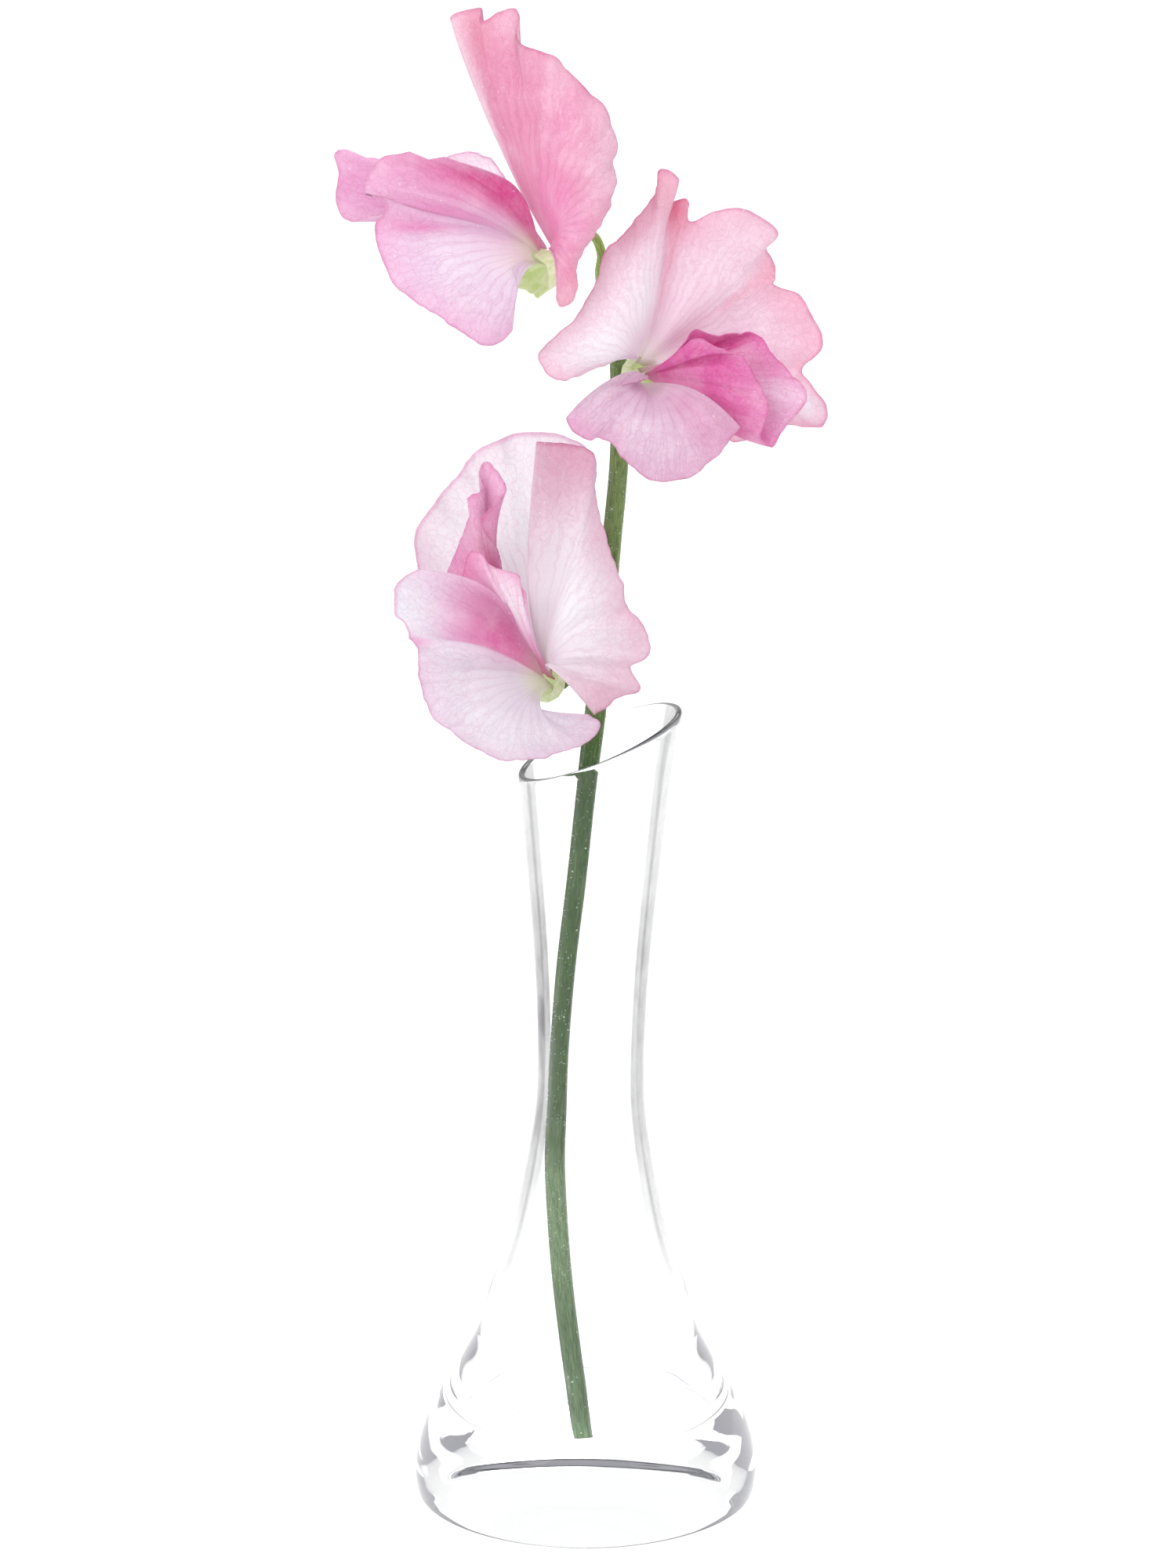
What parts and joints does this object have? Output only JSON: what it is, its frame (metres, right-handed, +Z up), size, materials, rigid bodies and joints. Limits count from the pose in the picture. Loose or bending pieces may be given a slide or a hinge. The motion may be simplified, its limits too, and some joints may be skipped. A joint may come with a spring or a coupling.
{
  "type": "sweet pea flower",
  "caption": "Cut sweet pea stem with pink ruffled blossoms, standing in a clear glass bud vase with a flared foot and a slanted rim.",
  "frame": {"origin": "centre of the vase's foot, on the surface it stands on", "axes": "+Z up, +X to the viewer's right, +Y away from the viewer who sees the lowest blossom's near wing in front"},
  "size_m": [0.0746, 0.0532, 0.2374],
  "materials": {
    "glass": "clear, polished",
    "stem": "fresh green stem, finely hairy",
    "calyx": "fresh green, finely hairy",
    "standard": "thin, veined petal",
    "near_wing": "thin, veined petal",
    "far_wing": "thin, veined petal",
    "keel": "thin, veined petal"
  },
  "bodies": {
    "root": {"vase": "glass", "stem": "stem", "lower_calyx": "calyx", "lower_standard": "standard", "lower_near_wing": "near_wing", "lower_far_wing": "far_wing", "lower_keel": "keel", "middle_calyx": "calyx", "middle_standard": "standard", "middle_near_wing": "near_wing", "middle_far_wing": "far_wing", "middle_keel": "keel", "upper_calyx": "calyx", "upper_standard": "standard", "upper_near_wing": "near_wing", "upper_far_wing": "far_wing", "upper_keel": "keel"}
  },
  "joints": []
}
